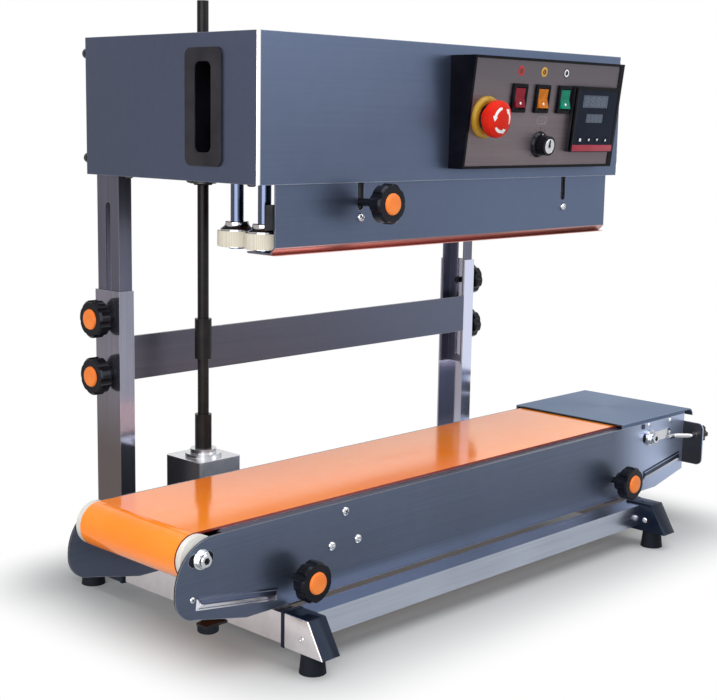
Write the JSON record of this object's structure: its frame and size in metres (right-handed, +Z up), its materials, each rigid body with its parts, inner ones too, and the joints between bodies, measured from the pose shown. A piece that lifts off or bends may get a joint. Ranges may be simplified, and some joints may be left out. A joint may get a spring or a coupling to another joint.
{
  "type": "pouch packing machine",
  "caption": "Upright continuous band sealer: a height-adjustable sealing head with a control panel on two posts over an orange belt conveyor on a tube base.",
  "frame": {"origin": "bottom centre of the bounding box, on the surface that the machine stands on", "axes": "+Z up, +X along the conveyor to the right seen from the front, +Y from the front to the back"},
  "size_m": [0.856, 0.397, 0.6265],
  "materials": {
    "blue_grey_paint": "satin",
    "grey_paint": "satin",
    "dark_steel": "satin",
    "chrome": "polished",
    "brushed_steel": "brushed",
    "cast_grey": "machined",
    "aluminium": "milled",
    "panel_taupe": "brushed",
    "black_plastic": "matte",
    "gloss_black": "gloss",
    "rubber": "matte",
    "belt_orange": "glossy",
    "cream_belt": "matte",
    "cream_plastic": "matte",
    "red_plastic": "gloss",
    "amber_plastic": "gloss",
    "green_plastic": "gloss"
  },
  "bodies": {
    "base": {"cross_tubes": "dark_steel", "long_tubes": "brushed_steel", "base_caps": "brushed_steel", "rubber_feet": "rubber", "posts": "grey_paint", "crossbar": "blue_grey_paint", "conveyor_front_plate": "blue_grey_paint", "conveyor_back_plate": "blue_grey_paint", "conveyor_saddles": "dark_steel", "plate_spacers": "brushed_steel", "slider_bed": "brushed_steel", "roller_axles": "chrome", "conveyor_belt": "belt_orange", "bearing_flanges": "dark_steel", "bearing_screws": "chrome", "gearbox": "cast_grey", "tension_rods": "chrome", "end_cover": "blue_grey_paint"},
    "head": {"head_cover": "blue_grey_paint", "head_floor": "dark_steel", "handle_cups": "black_plastic", "legs": "grey_paint", "control_bezel": "gloss_black", "control_plate": "panel_taupe", "switch_frames": "gloss_black", "temperature_controller": "black_plastic", "front_guard": "blue_grey_paint", "guard_screws": "chrome", "wheel_shafts": "chrome", "seal_belts": "cream_belt", "pressing_blocks": "aluminium", "drive_motor": "cast_grey"},
    "left_roller_set": {"left_roller": "brushed_steel", "roller_discs": "cream_plastic"},
    "right_roller_set": {"right_roller": "brushed_steel"},
    "drive_roller_set": {"drive_roller": "brushed_steel"},
    "shaft_set": {"upright_shaft": "chrome", "shaft_couplings": "dark_steel"},
    "left_front_wheel_body": {"left_front_wheel": "chrome"},
    "left_rear_wheel_body": {"left_rear_wheel": "chrome"},
    "right_front_wheel_body": {"right_front_wheel": "chrome"},
    "right_rear_wheel_body": {"right_rear_wheel": "chrome"},
    "left_upper_knob_body": {"left_upper_knob": "black_plastic"},
    "left_lower_knob_body": {"left_lower_knob": "black_plastic"},
    "right_upper_knob_body": {"right_upper_knob": "black_plastic"},
    "right_lower_knob_body": {"right_lower_knob": "black_plastic"},
    "conveyor_left_knob_body": {"conveyor_left_knob": "black_plastic"},
    "conveyor_right_knob_body": {"conveyor_right_knob": "black_plastic"},
    "guard_knob_body": {"guard_knob": "black_plastic"},
    "front_tension_knob_body": {"front_tension_knob": "black_plastic"},
    "rear_tension_knob_body": {"rear_tension_knob": "black_plastic"},
    "stop_button_body": {"stop_button": "red_plastic"},
    "red_rocker_body": {"red_rocker": "red_plastic"},
    "amber_rocker_body": {"amber_rocker": "amber_plastic"},
    "green_rocker_body": {"green_rocker": "green_plastic"},
    "speed_dial_body": {"speed_dial": "black_plastic"},
    "controller_key_1_body": {"controller_key_1": "cream_plastic"},
    "controller_key_2_body": {"controller_key_2": "cream_plastic"},
    "controller_key_3_body": {"controller_key_3": "cream_plastic"},
    "controller_key_4_body": {"controller_key_4": "cream_plastic"}
  },
  "joints": [
    {"name": "head_lift", "type": "slide", "parent": "base", "child": "head", "axis": [0, 0, 1], "range_m": [-0.11, 0.034]},
    {"name": "drive_roller_spin", "type": "hinge", "parent": "base", "child": "drive_roller_set", "pos_m": [-0.2168, -0.05125, 0.1096], "axis": [0, 1, 0], "continuous": true},
    {"name": "left_roller_spin", "type": "hinge", "parent": "base", "child": "left_roller_set", "pos_m": [-0.3985, -0.05125, 0.1215], "axis": [0, 1, 0], "continuous": true},
    {"name": "right_roller_spin", "type": "hinge", "parent": "base", "child": "right_roller_set", "pos_m": [0.325, -0.05125, 0.1215], "axis": [0, 1, 0], "continuous": true},
    {"name": "shaft_spin", "type": "hinge", "parent": "base", "child": "shaft_set", "pos_m": [-0.2168, 0.0835, 0.3], "axis": [0, 0, 1], "continuous": true},
    {"name": "left_front_wheel_spin", "type": "hinge", "parent": "head", "child": "left_front_wheel_body", "pos_m": [-0.258, -0.0585, 0.392], "axis": [0, 0, 1], "continuous": true},
    {"name": "left_rear_wheel_spin", "type": "hinge", "parent": "head", "child": "left_rear_wheel_body", "pos_m": [-0.258, -0.0185, 0.392], "axis": [0, 0, 1], "continuous": true},
    {"name": "right_front_wheel_spin", "type": "hinge", "parent": "head", "child": "right_front_wheel_body", "pos_m": [0.258, -0.0585, 0.392], "axis": [0, 0, 1], "continuous": true},
    {"name": "right_rear_wheel_spin", "type": "hinge", "parent": "head", "child": "right_rear_wheel_body", "pos_m": [0.258, -0.0185, 0.392], "axis": [0, 0, 1], "continuous": true},
    {"name": "left_upper_knob_turn", "type": "hinge", "parent": "base", "child": "left_upper_knob_body", "pos_m": [-0.29, 0.1515, 0.297], "axis": [-1, 0, 0], "continuous": true},
    {"name": "left_lower_knob_turn", "type": "hinge", "parent": "base", "child": "left_lower_knob_body", "pos_m": [-0.29, 0.1515, 0.236], "axis": [-1, 0, 0], "continuous": true},
    {"name": "right_upper_knob_turn", "type": "hinge", "parent": "base", "child": "right_upper_knob_body", "pos_m": [0.29, 0.1515, 0.297], "axis": [1, 0, 0], "continuous": true},
    {"name": "right_lower_knob_turn", "type": "hinge", "parent": "base", "child": "right_lower_knob_body", "pos_m": [0.29, 0.1515, 0.236], "axis": [1, 0, 0], "continuous": true},
    {"name": "conveyor_left_knob_turn", "type": "hinge", "parent": "base", "child": "conveyor_left_knob_body", "pos_m": [-0.283, -0.14, 0.08], "axis": [0, -1, 0], "continuous": true},
    {"name": "conveyor_right_knob_turn", "type": "hinge", "parent": "base", "child": "conveyor_right_knob_body", "pos_m": [0.25, -0.14, 0.08], "axis": [0, -1, 0], "continuous": true},
    {"name": "guard_knob_turn", "type": "hinge", "parent": "head", "child": "guard_knob_body", "pos_m": [-0.1525, -0.1, 0.4275], "axis": [0, -1, 0], "continuous": true},
    {"name": "front_tension_knob_turn", "type": "hinge", "parent": "base", "child": "front_tension_knob_body", "pos_m": [0.413, -0.1505, 0.116], "axis": [1, 0, 0], "continuous": true},
    {"name": "rear_tension_knob_turn", "type": "hinge", "parent": "base", "child": "rear_tension_knob_body", "pos_m": [0.413, 0.048, 0.116], "axis": [1, 0, 0], "continuous": true},
    {"name": "stop_push", "type": "slide", "parent": "head", "child": "stop_button_body", "axis": [0, 0.9925, 0.122], "range_m": [0, 0.004]},
    {"name": "red_rocker_tip", "type": "hinge", "parent": "head", "child": "red_rocker_body", "pos_m": [0.056, -0.11628, 0.53456], "axis": [1, 0, 0], "range_deg": [0, 16]},
    {"name": "amber_rocker_tip", "type": "hinge", "parent": "head", "child": "amber_rocker_body", "pos_m": [0.097, -0.11628, 0.53456], "axis": [1, 0, 0], "range_deg": [0, 16]},
    {"name": "green_rocker_tip", "type": "hinge", "parent": "head", "child": "green_rocker_body", "pos_m": [0.138, -0.11628, 0.53456], "axis": [1, 0, 0], "range_deg": [0, 16]},
    {"name": "speed_dial_turn", "type": "hinge", "parent": "head", "child": "speed_dial_body", "pos_m": [0.104, -0.11018, 0.48493], "axis": [0, -0.9925, -0.122], "range_deg": [-135, 135]},
    {"name": "controller_key_1_press", "type": "slide", "parent": "head", "child": "controller_key_1_body", "axis": [0, 0.9925, 0.122], "range_m": [0, 0.0008], "stiffness_N_per_m": 200},
    {"name": "controller_key_2_press", "type": "slide", "parent": "head", "child": "controller_key_2_body", "axis": [0, 0.9925, 0.122], "range_m": [0, 0.0008], "stiffness_N_per_m": 200},
    {"name": "controller_key_3_press", "type": "slide", "parent": "head", "child": "controller_key_3_body", "axis": [0, 0.9925, 0.122], "range_m": [0, 0.0008], "stiffness_N_per_m": 200},
    {"name": "controller_key_4_press", "type": "slide", "parent": "head", "child": "controller_key_4_body", "axis": [0, 0.9925, 0.122], "range_m": [0, 0.0008], "stiffness_N_per_m": 200}
  ],
  "couplings": [
    {"joint": "left_roller_spin", "follows": "drive_roller_spin", "ratio": 1},
    {"joint": "right_roller_spin", "follows": "drive_roller_spin", "ratio": 1},
    {"joint": "shaft_spin", "follows": "drive_roller_spin", "ratio": 1},
    {"joint": "left_front_wheel_spin", "follows": "drive_roller_spin", "ratio": -1.0833},
    {"joint": "left_rear_wheel_spin", "follows": "drive_roller_spin", "ratio": 1.0833},
    {"joint": "right_front_wheel_spin", "follows": "drive_roller_spin", "ratio": -1.0833},
    {"joint": "right_rear_wheel_spin", "follows": "drive_roller_spin", "ratio": 1.0833}
  ]
}
